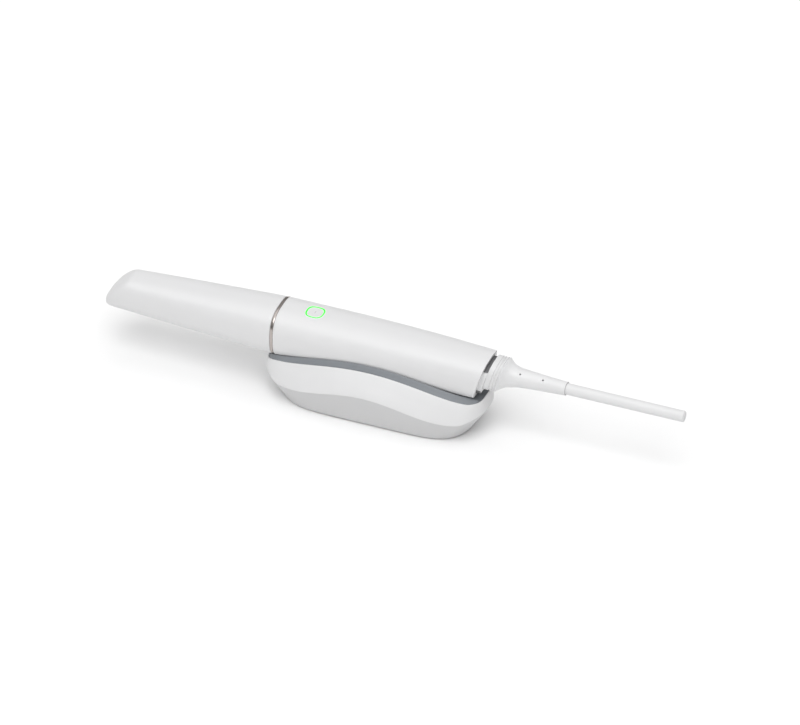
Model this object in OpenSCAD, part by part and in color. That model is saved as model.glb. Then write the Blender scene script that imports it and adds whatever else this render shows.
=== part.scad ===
// Wired intraoral scanner handpiece lying in its desktop cradle.
// +X runs from the scanning tip to the lead, +Z is up, and the origin is the middle of the cradle's foot.
// Unless a module says otherwise, heights inside the handpiece are measured from its long axis.

/* [Handpiece] */
// Height of the handpiece's long axis above the table
axis_z = 48; // [47.5:0.1:49]
// Half width of the handle at its front
handle_b = 19.4; // [19.2:0.1:19.6]
// Rise of the handle's top above the axis at its front
handle_top = 18; // [17.8:0.1:18.2]
// Drop of the handle's underside below the axis at its front
handle_low = 17.7; // [17.5:0.1:17.8]
// Drop of the handle's underside below the axis at its rear
rear_low = 16; // [15.8:0.1:16.2]
// Front of the housing
housing_x0 = -72; // [-72:0.1:-71.8]
// Rear of the housing, along its top
housing_x1 = 82.2; // [81.8:0.1:82.5]
// Wall of the housing
wall = 1.6; // [1.5:0.1:1.7]
// Length of the metal collar ring
ring_len = 2.2; // [2:0.1:2.4]

/* [Tip] */
// Front end of the removable tip
tip_x0 = -200.2; // [-200.5:0.1:-200]
// Half width of the tip where its slanted end begins
tip_b = 12.8; // [12.6:0.1:13]
// Rise of the tip's top above the axis where its slanted end begins
tip_top = 12.2; // [12:0.1:12.4]
// Wall of the tip
tip_wall = 1.3; // [1.2:0.1:1.4]
// Distance that the tip slides off the nose
tip_travel = 52; // [50:1:55]

/* [Button] */
// Middle of the button along the handle
button_x = -48; // [-48.5:0.1:-47.5]
// Half width of the lit ring round the button
button_ring = 6.4; // [6.2:0.1:6.6]
// Travel of the button
button_travel = 0.5; // [0.4:0.1:0.6]

/* [Lead] */
// Height of the lead above the handpiece's axis
lead_z = 3.5; // [3.4:0.1:3.6]
// Diameter of the lead
cable_d = 8.1; // [8:0.1:8.2]
// Rear end of the strain relief
sleeve_x1 = 138; // [137:0.5:139]
// Far end of the lead
lead_x1 = 224.6; // [224:0.1:228]

/* [Cradle] */
// Half length of the cradle at its shoulder
cradle_a = 80.7; // [80:0.1:81]
// Half width of the cradle at its shoulder
cradle_b = 33; // [32:0.1:33.5]
// Half length of the liner's edge
liner_a = 78; // [77.8:0.1:78.2]
// Half width of the liner's edge
liner_b = 23; // [22.8:0.1:23.2]
// Half length of the foot
foot_a = 67.6; // [67:0.1:68]
// Half width of the foot
foot_b = 25.5; // [25:0.1:26]

/* [Hidden] */
$fn = 64;

white = [0.93, 0.93, 0.94];
silicone = [0.55, 0.57, 0.59];
steel = [0.75, 0.75, 0.77];
dark = [0.16, 0.16, 0.17];
board_green = [0.08, 0.33, 0.2];
glass_tint = [0.7, 0.8, 0.85, 0.5];

arc_steps = 40;       // points along half of a housing section
ring_points = 56;     // points round a closed section
plan_points = 72;     // points round the cradle's plan
eps = 0.01;
fit_gap = 0.4;        // between the handpiece and the cradle
seam_rise = 2.6;      // height of the bottom cover's edge above the underside
ring_x0 = housing_x0 - ring_len;
tip_x1 = ring_x0 - 0.15;
tip_corner_x = -185.5;      // where the tip's top turns into its slanted end
tip_low = 12.1;             // drop of the tip's underside at its front
slant_drop = 16.1;          // fall of the convex slanted end
plug_z = 1.2;               // middle of the plug above the axis
tub_floor_z = 25.4;         // top of the cradle's tub floor above the table
cavity_z = 19.5;            // ceiling of the cradle's cavity above the table
foot_gap = 0.6;             // the shell's foot stands clear of the table
screw_x = 55;               // cradle screws
screw_y = 13;

// ---- sections and lofts ----

function signed_power(v, p) = sign(v) * pow(abs(v), p);

// A superellipse point at angle t, with half width b, between heights zb and zt.
function super_point(t, b, zt, zb, n) =
    [b * signed_power(cos(t), 2 / n), (zt + zb) / 2 + (zt - zb) / 2 * signed_power(sin(t), 2 / n)];

function flat(list) = [for (item = list) for (value = item) value];

function reversed(list) = [for (i = [len(list) - 1:-1:0]) list[i]];

// Triangles that join ring i to the next one, on rings of m points.
function strip(i, m) = flat([for (j = [0:m - 1])
    let (a = i * m + j, b = i * m + (j + 1) % m)
    [[a, b, b + m], [a, b + m, a + m]]]);

// A solid through closed rings; the first and the last ring are closed by flat caps.
module ring_solid(rings) {
    m = len(rings[0]);
    k = len(rings);
    first_cap = [for (j = [m - 1:-1:0]) j];
    last_cap = [for (j = [0:m - 1]) (k - 1) * m + j];
    sides = flat([for (i = [0:k - 2]) strip(i, m)]);
    polyhedron(points = flat(rings), faces = concat([first_cap, last_cap], sides));
}

// A solid through open bands; each band is [outer arc, inner arc] with equal counts.
module band_solid(bands) {
    rings = [for (band = bands) concat(band[0], reversed(band[1]))];
    h = len(bands[0][0]);
    m = 2 * h;
    k = len(rings);
    first_cap = [for (j = [0:h - 2]) [m - 1 - j, m - 2 - j, j + 1, j]];
    last_cap = [for (j = [0:h - 2]) [for (q = [j, j + 1, m - 2 - j, m - 1 - j]) (k - 1) * m + q]];
    sides = flat([for (i = [0:k - 2]) strip(i, m)]);
    polyhedron(points = flat(rings), faces = concat(first_cap, last_cap, sides));
}

module along_x(x0, x1) {
    translate([x0, 0, 0]) rotate([90, 0, 90]) linear_extrude(x1 - x0) children();
}

module rounded_square(w, h, r) {
    square([w - 2 * r, h], center = true);
    square([w, h - 2 * r], center = true);
    for (sy = [-1, 1], sz = [-1, 1])
        translate([sy * (w / 2 - r), sz * (h / 2 - r)]) circle(r);
}

module rounded_bar(x0, x1, w, h, r, z = 0) {
    translate([0, 0, z]) along_x(x0, x1) rounded_square(w, h, r);
}

module rounded_tube(x0, x1, w, h, r, t, z = 0) {
    translate([0, 0, z]) along_x(x0, x1) difference() {
        rounded_square(w, h, r);
        rounded_square(w - 2 * t, h - 2 * t, max(r - t, 0.4));
    }
}

module rod_x(x0, x1, r, y = 0, z = 0) {
    translate([x0, y, z]) rotate([0, 90, 0]) cylinder(r = r, h = x1 - x0);
}

module box(x0, x1, y0, y1, z0, z1) {
    translate([x0, y0, z0]) cube([x1 - x0, y1 - y0, z1 - z0]);
}

module on_axis() {
    translate([0, 0, axis_z]) children();
}

function squircle(r, n = 2.8, count = 48) =
    [for (i = [0:count - 1])
        let (t = 360 * i / count)
        r * [signed_power(cos(t), 2 / n), signed_power(sin(t), 2 / n)]];

// A pan-head screw standing along +Z from its head's underside, which is at z = 0.
module screw(head_r, head_h, shank_r, shank_h) {
    translate([0, 0, -head_h]) difference() {
        cylinder(r = head_r, h = head_h);
        translate([0, 0, -eps]) cylinder(r = head_r * 0.45, h = head_h * 0.6, $fn = 6);
    }
    cylinder(r = shank_r, h = shank_h);
}

// ---- the handle's outer form ----

bow_start = -35;            // the handle's top starts to fall here
top_bow = 0.00022;
side_bow = 0.000175;
handle_n = 2.8;             // exponent of the handle's section

function bow(x) = pow(max(0, x - bow_start), 2);
function handle_zt(x) = handle_top - top_bow * bow(x);
function handle_zb(x) = -handle_low + (handle_low - rear_low) * (x - housing_x0) / (housing_x1 - housing_x0);
function handle_half(x) = handle_b - side_bow * bow(x);

// How far a point at depth d below the top lies ahead of the rear's highest point.
function rear_lean(d) = 0.268 * d + 0.0008 * d * d;
function rear_x(z) = housing_x1 - rear_lean(handle_zt(housing_x1) - z);

// A point of the handle's form; u runs from 0 at the ring to 1 at the slanted rear.
function handle_point(u, t, inset) =
    let (
        x = housing_x0 + u * (housing_x1 - housing_x0),
        p = super_point(t, handle_half(x) - inset, handle_zt(x) - inset, handle_zb(x) + inset, handle_n))
    [x - u * rear_lean(handle_zt(x) - p[1]), p[0], p[1]];

// The angle at which a section reaches height z.
function angle_at(z, zt, zb, n) =
    let (s = (z - (zt + zb) / 2) / ((zt - zb) / 2))
    asin(signed_power(s, n / 2));

function seam_angle(x, inset) =
    angle_at(handle_zb(x) + seam_rise, handle_zt(x) - inset, handle_zb(x) + inset, handle_n);

housing_steps = 22;

function housing_arc(u, inset, upper) =
    let (
        x = housing_x0 + u * (housing_x1 - housing_x0),
        a = seam_angle(x, inset),
        t0 = upper ? a : 180 - a,
        t1 = upper ? 180 - a : 360 + a)
    [for (i = [0:arc_steps]) handle_point(u, t0 + (t1 - t0) * i / arc_steps, inset)];

module housing_band(upper) {
    band_solid([for (k = [0:housing_steps])
        let (u = k / housing_steps)
        [housing_arc(u, 0, upper), housing_arc(u, wall, upper)]]);
}

function housing_screw_spots() = [for (x = [-58, 46], s = [-1, 1]) [x, s * 7]];

module upper_housing() {
    color(white) on_axis() difference() {
        housing_band(true);
        translate([button_x, 0, handle_top - 5]) linear_extrude(8) polygon(squircle(button_ring + 0.1));
    }
}

module bottom_cover() {
    color(white) on_axis() difference() {
        housing_band(false);
        for (p = housing_screw_spots())
            translate([p[0], p[1], handle_zb(p[0]) - 1]) {
                cylinder(r = 1, h = 5);
                cylinder(r = 1.8, h = 2.2);
            }
    }
}

module housing_screws() {
    color(steel) on_axis() for (p = housing_screw_spots())
        translate([p[0], p[1], handle_zb(p[0]) + 1.18]) screw(1.7, 0.7, 0.95, 6.4);
}

module collar_ring() {
    lip = 0.1;
    count = 96;
    color([0.5, 0.46, 0.43]) on_axis() along_x(ring_x0, housing_x0) difference() {
        polygon([for (i = [0:count - 1])
            super_point(360 * i / count, handle_b + lip, handle_top + lip, -handle_low - lip, handle_n)]);
        rounded_square(nose_w + 0.4, nose_h + 0.4, nose_r + 0.2);
    }
}

// ---- nose that carries the tip ----

nose_w = 33;
nose_h = 29.6;
nose_r = 12;
snout_w = 25;
snout_h = 26.2;
snout_r = 7;
snout_x0 = -118;
snout_x1 = -92;
snout_wall = 1.8;
flange_x1 = -69;
nose_screw_spots = [[11, 10], [11, -10], [-11, 10], [-11, -10]];

module nose_tube() {
    color(dark) on_axis() difference() {
        union() {
            rounded_bar(snout_x0, snout_x1, snout_w, snout_h, snout_r);
            rounded_bar(snout_x1, housing_x0, nose_w, nose_h, nose_r);
            rounded_bar(housing_x0, flange_x1, 33.4, 31, 12.3);
        }
        rounded_bar(snout_x0 - 1, flange_x1 + 1, snout_w - 6, snout_h - 6, 4);
        rounded_bar(snout_x0 + 1.4, flange_x1 + 1, snout_w - 2 * snout_wall, snout_h - 2 * snout_wall, 5.2);
        for (p = nose_screw_spots) rod_x(-76, flange_x1 + 1, 1, p[0], p[1]);
        seal_groove();
    }
}

module seal_groove() {
    difference() {
        rounded_bar(-81.2, -78.8, nose_w + 2, nose_h + 2, nose_r + 1);
        rounded_bar(-82, -78, nose_w - 1.6, nose_h - 1.6, nose_r - 0.8);
    }
}

module tip_seal_ring() {
    color(dark) on_axis() rounded_tube(-81.1, -78.9, nose_w + 0.6, nose_h + 0.6, nose_r + 0.3, 1.05);
}

module nose_screws() {
    color(steel) on_axis() for (p = nose_screw_spots)
        translate([-66.98, p[0], p[1]]) rotate([0, -90, 0]) screw(1.8, 1.2, 0.9, 8.5);
}

module nose_window() {
    color(glass_tint) on_axis() rounded_bar(-116.6, -115, snout_w - 2 * snout_wall - 0.1,
        snout_h - 2 * snout_wall - 0.1, 5.1);
}

module window_seal() {
    color(dark) on_axis() rounded_tube(-115, -114, snout_w - 2 * snout_wall - 0.1,
        snout_h - 2 * snout_wall - 0.1, 5.1, 1.4);
}

// ---- tip ----

function tip_fraction(x) = (x - tip_corner_x) / (tip_x1 - tip_corner_x);
function tip_top_line(x) = tip_top + (handle_top - tip_top) * tip_fraction(x);
function tip_low_line(x) = -tip_low + (tip_low - handle_low) * tip_fraction(x);
function tip_side_line(x) = tip_b + (handle_b - tip_b) * tip_fraction(x);
function tip_n(x) = 3.8 - (3.8 - handle_n) * tip_fraction(x);

front_r = 3;                // rounding of the tip's lower front edge
corner_soft = 2.2;          // how gently the top turns into the slanted end

// The smaller of two values, blended over a span k.
function soft_min(a, b, k) =
    let (h = max(0, k - abs(a - b)) / k)
    min(a, b) - h * h * k / 4;

function slant_line(x) =
    let (u = (tip_corner_x - x) / (tip_corner_x - tip_x0))
    tip_top - slant_drop * (0.45 * u + 0.55 * signed_power(u, 2.2));
function tip_zt(x) = soft_min(tip_top_line(x), slant_line(x), corner_soft);
function tip_zb(x) =
    let (d = max(0, tip_x0 + front_r - x) / front_r)
    tip_low_line(x) + front_r * (1 - sqrt(max(0, 1 - d * d)));
function tip_half(x) =
    let (d = min(1, max(0, tip_x0 + 14 - x) / 14))
    tip_side_line(x) * (1 - 0.22 * pow(d, 2.4));

tip_outer_x = [tip_x0 + 0.05, -200, -199.6, -199, -198.2, -197.4, -196, -194.6, -192.8, -191, -189, -187.4,
    -186.2, -185, -183.6, -180, -165, -145, -125, -105, -88, tip_x1];
tip_inner_x = [-197, -196.2, -195.4, -194.2, -192.5, -190.5, -188.5, -186.5, -184.6, -183, -181, -178,
    -165, -145, -125, -105, -88, tip_x1];

function tip_ring(x, inset) =
    let (
        ahead = inset > 0 ? x - 1.7 : x,
        zt = tip_zt(ahead) - inset,
        zb = (inset > 0 ? tip_low_line(x) : tip_zb(x)) + inset,
        mid = (zt + zb) / 2,
        top = max(zt, mid + 0.4))
    [for (i = [0:ring_points - 1])
        let (p = super_point(360 * i / ring_points, tip_half(x) - inset, top, min(zb, mid - 0.4), tip_n(x)))
        [x, p[0], p[1]]];

window_x0 = -194;
window_x1 = -181;
window_w = 15;

module tip_shell() {
    outer = [for (x = tip_outer_x) tip_ring(x, 0)];
    inner = [for (x = reversed(tip_inner_x)) tip_ring(x, tip_wall)];
    color(white) on_axis() difference() {
        ring_solid(concat(outer, inner));
        box(window_x0, window_x1, -window_w / 2, window_w / 2, -20, -8);
    }
}

mirror_x = -188;
mirror_z = 0.4;
mirror_len = 15;
mirror_w = 16.4;

module tilted_plate(depth0, depth1, width, length) {
    translate([mirror_x, 0, mirror_z]) rotate([0, -45, 0])
        box(-length / 2, length / 2, -width / 2, width / 2, depth0, depth1);
}

module tip_mirror() {
    color(steel) on_axis() tilted_plate(0, 0.8, mirror_w, mirror_len);
}

module mirror_mount() {
    color(dark) on_axis() tilted_plate(0.8, 2.4, mirror_w - 4.4, mirror_len - 6);
}

// ---- inside the handle ----

frame_z = -9.5;             // top of the inner frame's floor
lens_y = 6.1;               // cameras stand this far to each side
lens_z = -3.2;
projector_z = 4.6;

module inner_frame() {
    color([0.3, 0.31, 0.33]) on_axis() difference() {
        union() {
            box(-62, 62, -11, 11, frame_z - 1.6, frame_z);
            box(-67.5, -61, -8.8, 8.8, frame_z - 1.6, frame_z);
            for (s = [-1, 1]) box(-62, 62, s * 11 - 0.8, s * 11 + 0.8, frame_z - 1.6, frame_z + 2.2);
            difference() {
                rounded_bar(flange_x1, -67, 28.6, 30, 8);
                rounded_bar(flange_x1 - 1, -66, 19.6, 21, 4);
            }
            for (p = housing_screw_spots())
                translate([p[0], p[1], handle_zb(p[0]) + 2.9])
                    cylinder(r = 2, h = frame_z - handle_zb(p[0]) - 3.9);
        }
        for (p = housing_screw_spots())
            translate([p[0], p[1], handle_zb(p[0]) - 1]) cylinder(r = 1, h = 12);
        for (p = nose_screw_spots) rod_x(-70, -60, 1, p[0], p[1]);
        for (p = board_screw_spots) translate([p[0], p[1], frame_z - 3]) cylinder(r = 0.85, h = 6);
        for (p = bench_spots) translate([p[0], p[1], frame_z - 3]) cylinder(r = 1, h = 6);
    }
}

bench_spots = [[-60, 0], [-34, 0]];

module optical_bench() {
    color(steel) on_axis() difference() {
        union() {
            box(-106, -30, -8, 8, frame_z, frame_z + 1.6);
            for (x = [-104, -94])
                translate([x, 0, 0.6]) along_x(0, 3) rounded_square(20.6, 20.2, 4.5);
        }
        for (s = [-1, 1]) rod_x(-110, -80, 4.05, s * lens_y, lens_z);
        rod_x(-110, -80, 4.55, 0, projector_z);
        for (p = bench_spots) translate([p[0], p[1], frame_z - 1]) cylinder(r = 1, h = 5);
    }
}

module bench_screws() {
    color(steel) on_axis() for (p = bench_spots)
        translate([p[0], p[1], frame_z + 1.6]) rotate([180, 0, 0]) screw(1.9, 1.2, 0.95, 3);
}

module lens_barrel(x0, x1, r, y, z) {
    difference() {
        union() {
            rod_x(x0, x1, r, y, z);
            rod_x(x1 - 2, x1, r + 0.4, y, z);
        }
        rod_x(x0 - 1, x0 + 1.5, r - 0.9, y, z);
    }
}

module camera_lens_left() {
    color(dark) on_axis() lens_barrel(-109, -89, 4, lens_y, lens_z);
}

module camera_lens_right() {
    color(dark) on_axis() lens_barrel(-109, -89, 4, -lens_y, lens_z);
}

module projector_lens() {
    color(dark) on_axis() lens_barrel(-110, -76, 4.5, 0, projector_z);
}

module sensor_board(side) {
    color(board_green) on_axis() {
        box(-88.9, -87.7, side * lens_y - 4.1, side * lens_y + 4.1, lens_z - 4.4, lens_z + 3.6);
        box(-87.7, -86.5, side * lens_y - 3, side * lens_y + 3, lens_z - 3, lens_z + 3);
    }
}

module sensor_board_left() {
    sensor_board(1);
}

module sensor_board_right() {
    sensor_board(-1);
}

module projector_module() {
    color([0.22, 0.22, 0.24]) on_axis() rounded_bar(-75.9, -56, 13, 10.6, 1.5, projector_z + 0.4);
}

module projector_led_board() {
    color(board_green) on_axis() box(-55.9, -54.4, -7, 7, projector_z - 5.4, projector_z + 5.8);
}

module heat_sink() {
    color([0.8, 0.81, 0.83]) on_axis() {
        box(-54.3, -51.8, -8, 8, -3, 10.4);
        for (k = [0:6]) box(-52, -34, -8 + k * 2.5, -7 + k * 2.5, -3, 10.4);
    }
}

// ---- button ----

button_half = 5.6;

module led_ring() {
    color([0.25, 0.95, 0.3]) on_axis() translate([button_x, 0, handle_top - 2.4])
        linear_extrude(2.2) difference() {
            polygon(squircle(button_ring));
            polygon(squircle(button_half + 0.15));
        }
}

module button_cap() {
    color(white) on_axis() translate([button_x, 0, handle_top - 2]) {
        linear_extrude(1.85) polygon(squircle(button_half));
        translate([0, 0, -1.2]) cylinder(r = 1.8, h = 1.4);
    }
}

module button_board() {
    color(board_green) on_axis() {
        box(button_x - 8, button_x + 8, -6.5, 6.5, 11.4, 12.4);
        for (s = [-1, 1], q = [-1, 1])
            box(button_x + s * 6.8 - 0.6, button_x + s * 6.8 + 0.6, q * 5 - 0.6, q * 5 + 0.6, 12.4, 15);
    }
}

module button_switch() {
    color(steel) on_axis() {
        box(button_x - 2.6, button_x + 2.6, -2.6, 2.6, 12.4, 13.5);
        translate([button_x, 0, 13.5]) cylinder(r = 1.2, h = 0.5);
    }
}

// ---- boards, fan, rear ----

board_screw_spots = [[-6, 8], [-6, -8], [54, 8], [54, -8]];
board_z = -6.5;

module main_board() {
    color(board_green) on_axis() {
        difference() {
            union() {
                box(-10, 58, -10, 10, board_z, board_z + 1.6);
                for (p = board_screw_spots)
                    translate([p[0], p[1], frame_z]) cylinder(r = 1.9, h = board_z - frame_z);
            }
            for (p = board_screw_spots) translate([p[0], p[1], frame_z - 1]) cylinder(r = 0.9, h = 6);
        }
        box(2, 16, -6, 6, board_z + 1.6, board_z + 3.4);
        box(22, 31, -5, 4, board_z + 1.6, board_z + 2.8);
        box(36, 43, -3, 5, board_z + 1.6, board_z + 2.8);
        box(49, 52, -6, 6, board_z + 1.6, board_z + 4.6);
    }
}

module board_screws() {
    color(steel) on_axis() for (p = board_screw_spots)
        translate([p[0], p[1], board_z + 1.6]) rotate([180, 0, 0]) screw(1.6, 1, 0.8, 5.8);
}

module sensor_flex() {
    color([0.75, 0.45, 0.12]) on_axis() {
        box(-86.4, -10.6, -9.2, -8.4, frame_z + 2, frame_z + 4.4);
        box(-86.4, -10.6, 8.4, 9.2, frame_z + 2, frame_z + 4.4);
        box(-10.6, -10.1, -9.2, 9.2, frame_z + 2, frame_z + 4.4);
    }
}

fan_x0 = -29;
fan_x1 = -21;
fan_z = 3.4;
fan_r = 9;
fan_screw_spots = [[8.6, 8.6], [-8.6, 8.6]];

module fan_frame() {
    color(dark) on_axis() difference() {
        union() {
            difference() {
                rounded_bar(fan_x0, fan_x1, 21, 21, 2.5, fan_z);
                rod_x(fan_x0 - 1, fan_x1 + 1, fan_r + 0.6, 0, fan_z);
            }
            rod_x(fan_x1 - 1, fan_x1, 3, 0, fan_z);
            for (a = [0:120:240])
                translate([fan_x1 - 1, 0, fan_z]) rotate([a, 0, 0]) cube([1, fan_r + 1, 1.2]);
            box(fan_x0, fan_x1, -7, 7, frame_z, fan_z - 10);
        }
        for (s = [-1, 1])
            box(fan_x0 - 1, fan_x1 + 1, s * 9.6 - 1.6, s * 9.6 + 1.6, fan_z - 11, frame_z + 4.8);
        rod_x(fan_x1 - 4, fan_x1 + 1, 1.03, 0, fan_z);
        for (p = fan_screw_spots) rod_x(fan_x0 - 1, fan_x1 + 1, 0.9, p[0], fan_z + p[1]);
    }
}

module fan_screws() {
    color(steel) on_axis() for (p = fan_screw_spots)
        translate([fan_x0 - 0.05, p[0], fan_z + p[1]]) rotate([0, 90, 0]) screw(1.3, 0.8, 0.85, 8);
}

module fan_rotor() {
    color([0.1, 0.1, 0.11]) on_axis() {
        rod_x(fan_x0 + 0.8, fan_x1 - 1.6, 3.6, 0, fan_z);
        rod_x(fan_x1 - 2, fan_x1 - 0.1, 1, 0, fan_z);
        for (k = [0:6])
            translate([(fan_x0 + fan_x1) / 2 - 0.4, 0, fan_z]) rotate([k * 360 / 7, 0, 0])
                translate([0, 3, 0]) rotate([0, 38, 0])
                    translate([-2.6, 0, -0.35]) cube([5.2, fan_r - 3.4, 0.7]);
    }
}

// A closed section that leans with the housing's rear, moved along X by shift.
function leaned_ring(shift, b, zt, zb, n, share = 1) =
    [for (i = [0:ring_points - 1])
        let (p = super_point(360 * i / ring_points, b, zt, zb, n))
        [housing_x1 + shift - share * rear_lean(handle_zt(housing_x1) - p[1]), p[0], p[1]]];

bezel_b = 15.1;
bezel_top = 13.1;
bezel_low = -14.1;
throat_b = 12.4;
throat_top = 10.6;
throat_low = -11.6;
throat_n = 3;
throat_out = 3.2;           // the throat stands this far behind the housing's rim
socket_w = 16.4;
socket_h = 14.4;

module rear_frame() {
    color(white) on_axis() difference() {
        ring_solid([
            leaned_ring(-4, bezel_b, bezel_top, bezel_low, handle_n),
            leaned_ring(-0.3, bezel_b, bezel_top, bezel_low, handle_n),
            leaned_ring(-0.28, throat_b, throat_top, throat_low, throat_n),
            leaned_ring(throat_out, throat_b, throat_top, throat_low, throat_n)]);
        rounded_bar(50, 100, socket_w + 0.1, socket_h + 0.1, 3.05, plug_z);
    }
}

function grille_arc(shift, t0, t1, grow) =
    [for (i = [0:16])
        let (
            t = t0 + (t1 - t0) * i / 16,
            p = super_point(t, throat_b + grow, throat_top + grow, throat_low - grow, throat_n))
        [housing_x1 + shift - rear_lean(handle_zt(housing_x1) - p[1]), p[0], p[1]]];

module grille_band(t0, t1) {
    band_solid([for (shift = [-0.28, throat_out - 0.1])
        [grille_arc(shift, t0, t1, 0.9), grille_arc(shift, t0, t1, 0.05)]]);
}

module vent_grille() {
    color([0.3, 0.3, 0.31]) on_axis() {
        grille_band(46, 134);
        grille_band(206, 334);
    }
}

module lead_socket() {
    color(steel) on_axis() difference() {
        rounded_bar(62, 77, socket_w, socket_h, 3, plug_z);
        rounded_bar(64, 78, socket_w - 3, socket_h - 3, 2, plug_z);
    }
}

module socket_contacts() {
    color(dark) on_axis() {
        box(64, 74, -4.4, 4.4, plug_z - 1.2, plug_z + 1.2);
        for (k = [-3:3]) box(58, 61.9, k * 1.2 - 0.25, k * 1.2 + 0.25, plug_z - 0.3, plug_z + 0.3);
    }
}

// ---- lead ----

// Stations of the plug: shift behind the housing's rear, half width, top, bottom, exponent, share of lean.
plug_stations = [
    [3.35, 11.3, 14.1, -8.5, 3, 1],
    [3.6, 11.4, 14.2, -8.6, 3, 1],
    [12, 11.4, 14.2, -8.6, 3, 1],
    [12.4, 11.2, 14, -8.4, 3, 1],
    [13.4, 10.5, 13.4, -7.6, 2.9, 0.97],
    [14.6, 9.4, 12.6, -6.2, 2.7, 0.85],
    [16, 8.4, 11.8, -4.5, 2.5, 0.6],
    [17.8, 7.6, 11.1, -4.1, 2.3, 0.32],
    [19.6, 7.15, 10.7, -3.7, 2.1, 0.1],
    [21, 6.9, lead_z + 6.9, lead_z - 6.9, 2, 0]];

module plug_housing() {
    color(white) on_axis() difference() {
        ring_solid([for (s = plug_stations) leaned_ring(s[0], s[1], s[2], s[3], s[4], s[5])]);
        rounded_bar(60, 89.02, plug_w + 0.02, plug_h + 0.02, 2.01, plug_z);
    }
}

plug_w = 12.6;
plug_h = 10.6;

module plug_shell() {
    color(steel) on_axis() {
        rounded_tube(65.5, 84, plug_w, plug_h, 2, 0.9, plug_z);
        rounded_bar(84, 89, plug_w - 0.1, plug_h - 0.1, 2, plug_z);
    }
}

sleeve_x0 = housing_x1 + 21;
sleeve_end_r = 4.9;
pin_angle = 33;

// The strain relief flares towards the plug.
function sleeve_r(x) = sleeve_end_r + 1.94 * pow((sleeve_x1 - x) / 34, 1.3);

module strain_relief() {
    color(white) on_axis() difference() {
        translate([0, 0, lead_z]) rotate([0, 90, 0]) rotate_extrude()
            polygon(concat([[0, sleeve_x0]],
                [for (k = [0:7]) let (x = sleeve_x0 + (sleeve_x1 - sleeve_x0) * k / 7) [sleeve_r(x), x]],
                [[0, sleeve_x1]]));
        for (x = [104.9, 121.5], s = [-1, 1])
            translate([x, 0, lead_z]) rotate([s * pin_angle, 0, 0]) translate([0, 0, sleeve_r(x) - 1.4])
                cylinder(r = 0.55, h = 3);
    }
}

// The lead leaves the sleeve straight along X; each point is one ring of the cable.
cable_end = lead_x1 - 2;
cable_route = [for (x = [sleeve_x1, 150, 165, 180, 195, 210, cable_end]) [x, 0, lead_z]];
cable_sides = 12;

module lead_cable() {
    color(white) on_axis() ring_solid([for (p = cable_route)
        [for (i = [0:cable_sides - 1])
            let (t = 360 * i / cable_sides)
            [p[0], cable_d / 2 * cos(t), p[2] + cable_d / 2 * sin(t)]]]);
}

module lead_end_cap() {
    color(white) on_axis() {
        rod_x(cable_end, lead_x1 - 0.6, cable_d / 2, 0, lead_z);
        translate([lead_x1 - 0.6, 0, lead_z]) rotate([0, 90, 0])
            cylinder(r1 = cable_d / 2, r2 = cable_d / 2 - 0.6, h = 0.6);
    }
}

// ---- cradle (heights from the table) ----

function ease(x, span) = (1 - cos(180 * min(abs(x), span) / span)) / 2;

function rim_top(x) = axis_z - 1.55 - 21.3 * ease(x, 130);
function rim_edge(x) = axis_z - 5.75 - 15.2 * ease(x, 112) - 2 * pow(max(0, abs(x) - 66) / 12, 2);
function shoulder_z(x) = axis_z - 19.7 - 10.3 * ease(x, 68) + 4 * ease(max(0, abs(x) - 66), 14);

// A plan curve whose height is a base plus a share of the shoulder's and of the rim's arch.
function plan_ring(a, b, n, base, of_shoulder = 0, of_rim = 0) =
    [for (i = [0:plan_points - 1])
        let (t = 360 * i / plan_points, x = a * signed_power(cos(t), 2 / n))
        [x, b * signed_power(sin(t), 2 / n), base + of_shoulder * shoulder_z(x) + of_rim * rim_edge(x)]];

// A plan curve of the straight wall; w runs from 0 at the foot, a long oval, to 1 at the shoulder's edge.
function wall_ring(w, inset, z0 = 0.6) =
    [for (i = [0:plan_points - 1])
        let (
            t = 360 * i / plan_points,
            c = cos(t),
            s = sin(t),
            foot = [(foot_a - inset) * signed_power(c, 1 / 3), (foot_b - inset) * s],
            edge = [(cradle_a - 0.6) * signed_power(c, 2 / 3), (cradle_b - 0.5) * signed_power(s, 2 / 3)],
            p = foot * (1 - w) + edge * w)
        [p[0], p[1], z0 + w * (shoulder_z(edge[0]) - 2.2 - z0)]];

module cradle_shell() {
    top_side = [
        plan_ring(liner_a - 0.2, liner_b - 0.2, 4.6, tub_floor_z),
        plan_ring(liner_a - 0.2, liner_b - 0.2, 4.6, 0.2, 0, 1),
        plan_ring(liner_a + 0.5, liner_b + 0.6, 4.4, 0.3, 0, 1),
        plan_ring(liner_a + 1.3, liner_b + 2.6, 3.9, -0.1, 0.14, 0.86),
        plan_ring(cradle_a - 0.9, cradle_b - 4.6, 3.4, 0.9, 0.5, 0.5),
        plan_ring(cradle_a - 0.3, cradle_b - 1.6, 3.1, 1.4, 0.86, 0.14),
        plan_ring(cradle_a, cradle_b, 3, -0.3, 1),
        plan_ring(cradle_a - 0.1, cradle_b - 0.1, 3, -1.4, 1),
        wall_ring(1, 0)];
    low_side = [wall_ring(0.66, 0), wall_ring(0.33, 0), wall_ring(0.04, 0), wall_ring(0, 0.6, foot_gap)];
    cavity = [
        wall_ring(0, 3, foot_gap),
        plan_ring(foot_a - 4, foot_b - 3, 3.6, 4),
        plan_ring(foot_a - 3, foot_b - 2.5, 3.6, 12),
        plan_ring(foot_a - 3, foot_b - 3, 3.6, cavity_z)];
    color(white) difference() {
        union() {
            ring_solid(concat(top_side, low_side, cavity));
            for (sx = [-1, 1], sy = [-1, 1])
                translate([sx * screw_x, sy * screw_y, 3.2]) cylinder(r = 3.4, h = cavity_z - 2.7);
        }
        for (sx = [-1, 1], sy = [-1, 1])
            translate([sx * screw_x, sy * screw_y, 2]) cylinder(r = 1.25, h = 12);
    }
}

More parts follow.
